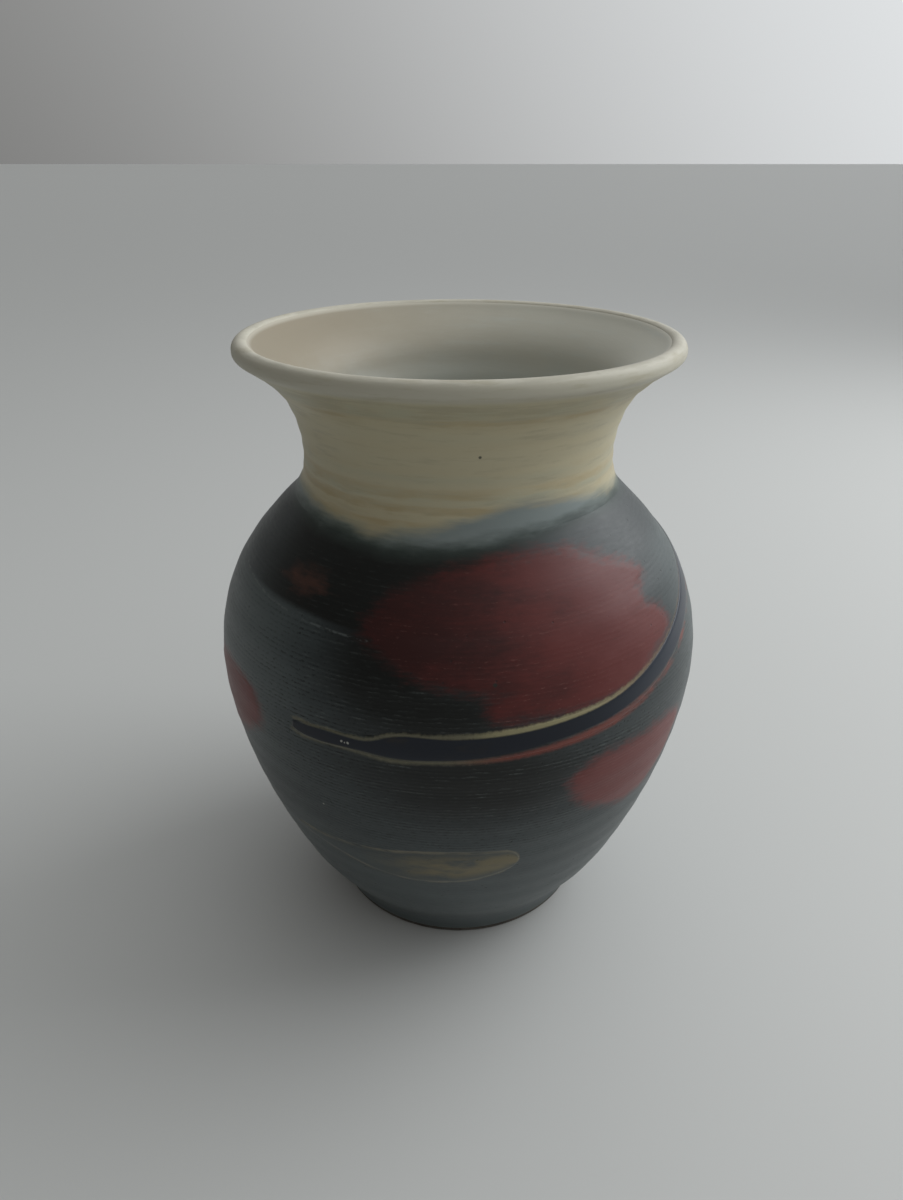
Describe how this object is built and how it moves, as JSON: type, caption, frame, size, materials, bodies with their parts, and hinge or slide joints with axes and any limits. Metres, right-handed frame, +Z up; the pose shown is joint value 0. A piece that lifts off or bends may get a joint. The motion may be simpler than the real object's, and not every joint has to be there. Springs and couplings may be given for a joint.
{
  "type": "vase",
  "caption": "Round-bellied stoneware vase with a narrow neck, flared rolled lip, trimmed foot ring and brushed decoration between its glaze coats.",
  "frame": {"origin": "centre of the foot ring's resting plane", "axes": "+Z up along the axis of the vase; -Y is the front, where the long brush stroke passes under the largest red patch; +X is to the right seen from the front"},
  "size_m": [0.1441, 0.144, 0.18],
  "materials": {
    "bare_clay": "bare fired stoneware, matt and slightly sandy",
    "liner_coat": "satin grey-cream liner glaze",
    "cream_coat": "satin cream-olive glaze with ochre bands",
    "overlap_coat": "blue-grey where the two glazes run together",
    "slate_coat": "satin slate-black glaze",
    "navy_brushwork": "glossy blue-black brushed glaze with ochre edges",
    "ochre_brushwork": "satin ochre-olive brushed glaze",
    "iron_red_brushwork": "satin iron-red brushed glaze"
  },
  "bodies": {
    "root": {"stoneware_body": "bare_clay", "liner_glaze": "liner_coat", "neck_glaze": "cream_coat", "glaze_overlap_band": "overlap_coat", "belly_glaze": "slate_coat", "long_brush_stroke": "navy_brushwork", "foot_brush_stroke": "ochre_brushwork", "red_patch_front": "iron_red_brushwork", "red_patch_right": "iron_red_brushwork", "red_patch_left": "iron_red_brushwork", "red_patch_shoulder": "iron_red_brushwork"}
  },
  "joints": []
}
